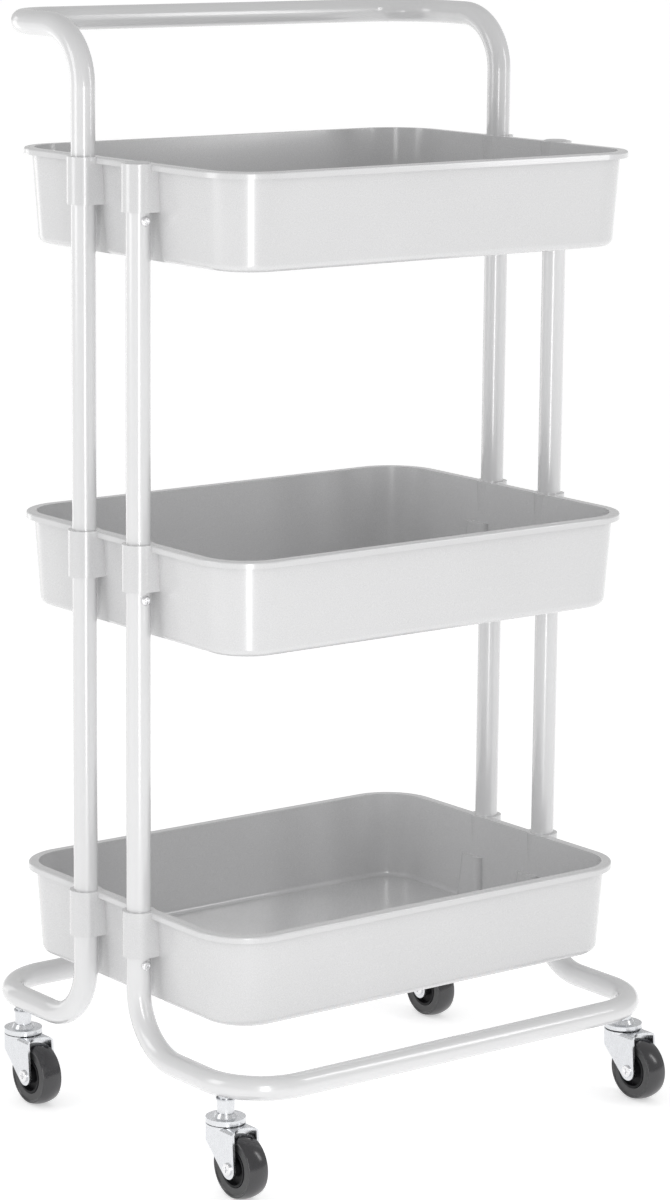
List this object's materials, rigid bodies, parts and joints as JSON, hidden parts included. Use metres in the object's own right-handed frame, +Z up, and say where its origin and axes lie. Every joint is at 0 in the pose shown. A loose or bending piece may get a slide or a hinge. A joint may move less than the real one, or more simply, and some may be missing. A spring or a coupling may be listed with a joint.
{
  "type": "rolling utility cart",
  "caption": "Open rolling cart with stacked shallow trays on bent round tube posts, a rear grab bar and swivel casters.",
  "frame": {"origin": "on the floor, under the middle of the cart", "axes": "+X to the right along the trays' long side, +Y to the rear where the grab bar is, +Z up"},
  "size_m": [0.443, 0.3832, 0.885],
  "materials": {
    "frame_enamel": "white powder coat, satin",
    "tray_plastic": "white moulded plastic, fine grain, semi-gloss",
    "cap_plastic": "white moulded plastic",
    "caster_zinc": "bright zinc-plated pressed steel",
    "screw_zinc": "bright zinc-plated steel",
    "connector_steel": "plain zinc-plated steel",
    "ball_steel": "polished bearing steel",
    "tyre_black": "glossy hard black tyre",
    "hub_black": "black moulded plastic"
  },
  "bodies": {
    "frame": {"front_base_tube": "frame_enamel", "rear_base_tube": "frame_enamel", "handle_tube": "frame_enamel", "lower_post_front_left": "frame_enamel", "lower_post_front_right": "frame_enamel", "lower_post_rear_left": "frame_enamel", "lower_post_rear_right": "frame_enamel", "upper_post_front_left": "frame_enamel", "upper_post_front_right": "frame_enamel", "upper_post_rear_left": "frame_enamel", "upper_post_rear_right": "frame_enamel", "bottom_tray": "tray_plastic", "middle_tray": "tray_plastic", "top_tray": "tray_plastic", "bottom_connectors": "connector_steel", "middle_connectors": "connector_steel", "top_connectors": "connector_steel", "bottom_screws": "screw_zinc", "middle_screws": "screw_zinc", "top_screws": "screw_zinc", "front_end_caps": "cap_plastic", "front_stem_inserts": "connector_steel", "rear_stem_inserts": "connector_steel", "front_left_caster_stem": "caster_zinc", "front_left_caster_cup": "caster_zinc", "front_left_caster_balls": "ball_steel", "front_right_caster_stem": "caster_zinc", "front_right_caster_cup": "caster_zinc", "front_right_caster_balls": "ball_steel", "rear_left_caster_stem": "caster_zinc", "rear_left_caster_cup": "caster_zinc", "rear_left_caster_balls": "ball_steel", "rear_right_caster_stem": "caster_zinc", "rear_right_caster_cup": "caster_zinc", "rear_right_caster_balls": "ball_steel"},
    "front_left_caster_swivel": {"front_left_caster_fork": "caster_zinc", "front_left_caster_axle_bolt": "screw_zinc", "front_left_caster_axle_nut": "screw_zinc", "front_left_caster_bush": "connector_steel"},
    "front_left_caster_wheel": {"front_left_caster_tyre": "tyre_black", "front_left_caster_hub": "hub_black"},
    "front_right_caster_swivel": {"front_right_caster_fork": "caster_zinc", "front_right_caster_axle_bolt": "screw_zinc", "front_right_caster_axle_nut": "screw_zinc", "front_right_caster_bush": "connector_steel"},
    "front_right_caster_wheel": {"front_right_caster_tyre": "tyre_black", "front_right_caster_hub": "hub_black"},
    "rear_left_caster_swivel": {"rear_left_caster_fork": "caster_zinc", "rear_left_caster_axle_bolt": "screw_zinc", "rear_left_caster_axle_nut": "screw_zinc", "rear_left_caster_bush": "connector_steel"},
    "rear_left_caster_wheel": {"rear_left_caster_tyre": "tyre_black", "rear_left_caster_hub": "hub_black"},
    "rear_right_caster_swivel": {"rear_right_caster_fork": "caster_zinc", "rear_right_caster_axle_bolt": "screw_zinc", "rear_right_caster_axle_nut": "screw_zinc", "rear_right_caster_bush": "connector_steel"},
    "rear_right_caster_wheel": {"rear_right_caster_tyre": "tyre_black", "rear_right_caster_hub": "hub_black"}
  },
  "joints": [
    {"name": "front_left_caster_swivel_turn", "type": "hinge", "parent": "frame", "child": "front_left_caster_swivel", "pos_m": [-0.20236, -0.14873, 0.055], "axis": [0, 0, 1], "continuous": true},
    {"name": "front_left_caster_wheel_spin", "type": "hinge", "parent": "front_left_caster_swivel", "child": "front_left_caster_wheel", "pos_m": [-0.20236, -0.16873, 0.025], "axis": [1, 0, 0], "continuous": true},
    {"name": "front_right_caster_swivel_turn", "type": "hinge", "parent": "frame", "child": "front_right_caster_swivel", "pos_m": [0.20236, -0.14873, 0.055], "axis": [0, 0, 1], "continuous": true},
    {"name": "front_right_caster_wheel_spin", "type": "hinge", "parent": "front_right_caster_swivel", "child": "front_right_caster_wheel", "pos_m": [0.20236, -0.16873, 0.025], "axis": [1, 0, 0], "continuous": true},
    {"name": "rear_left_caster_swivel_turn", "type": "hinge", "parent": "frame", "child": "rear_left_caster_swivel", "pos_m": [-0.206, 0.13, 0.055], "axis": [0, 0, 1], "continuous": true},
    {"name": "rear_left_caster_wheel_spin", "type": "hinge", "parent": "rear_left_caster_swivel", "child": "rear_left_caster_wheel", "pos_m": [-0.206, 0.11, 0.025], "axis": [1, 0, 0], "continuous": true},
    {"name": "rear_right_caster_swivel_turn", "type": "hinge", "parent": "frame", "child": "rear_right_caster_swivel", "pos_m": [0.206, 0.13, 0.055], "axis": [0, 0, 1], "continuous": true},
    {"name": "rear_right_caster_wheel_spin", "type": "hinge", "parent": "rear_right_caster_swivel", "child": "rear_right_caster_wheel", "pos_m": [0.206, 0.11, 0.025], "axis": [1, 0, 0], "continuous": true}
  ]
}
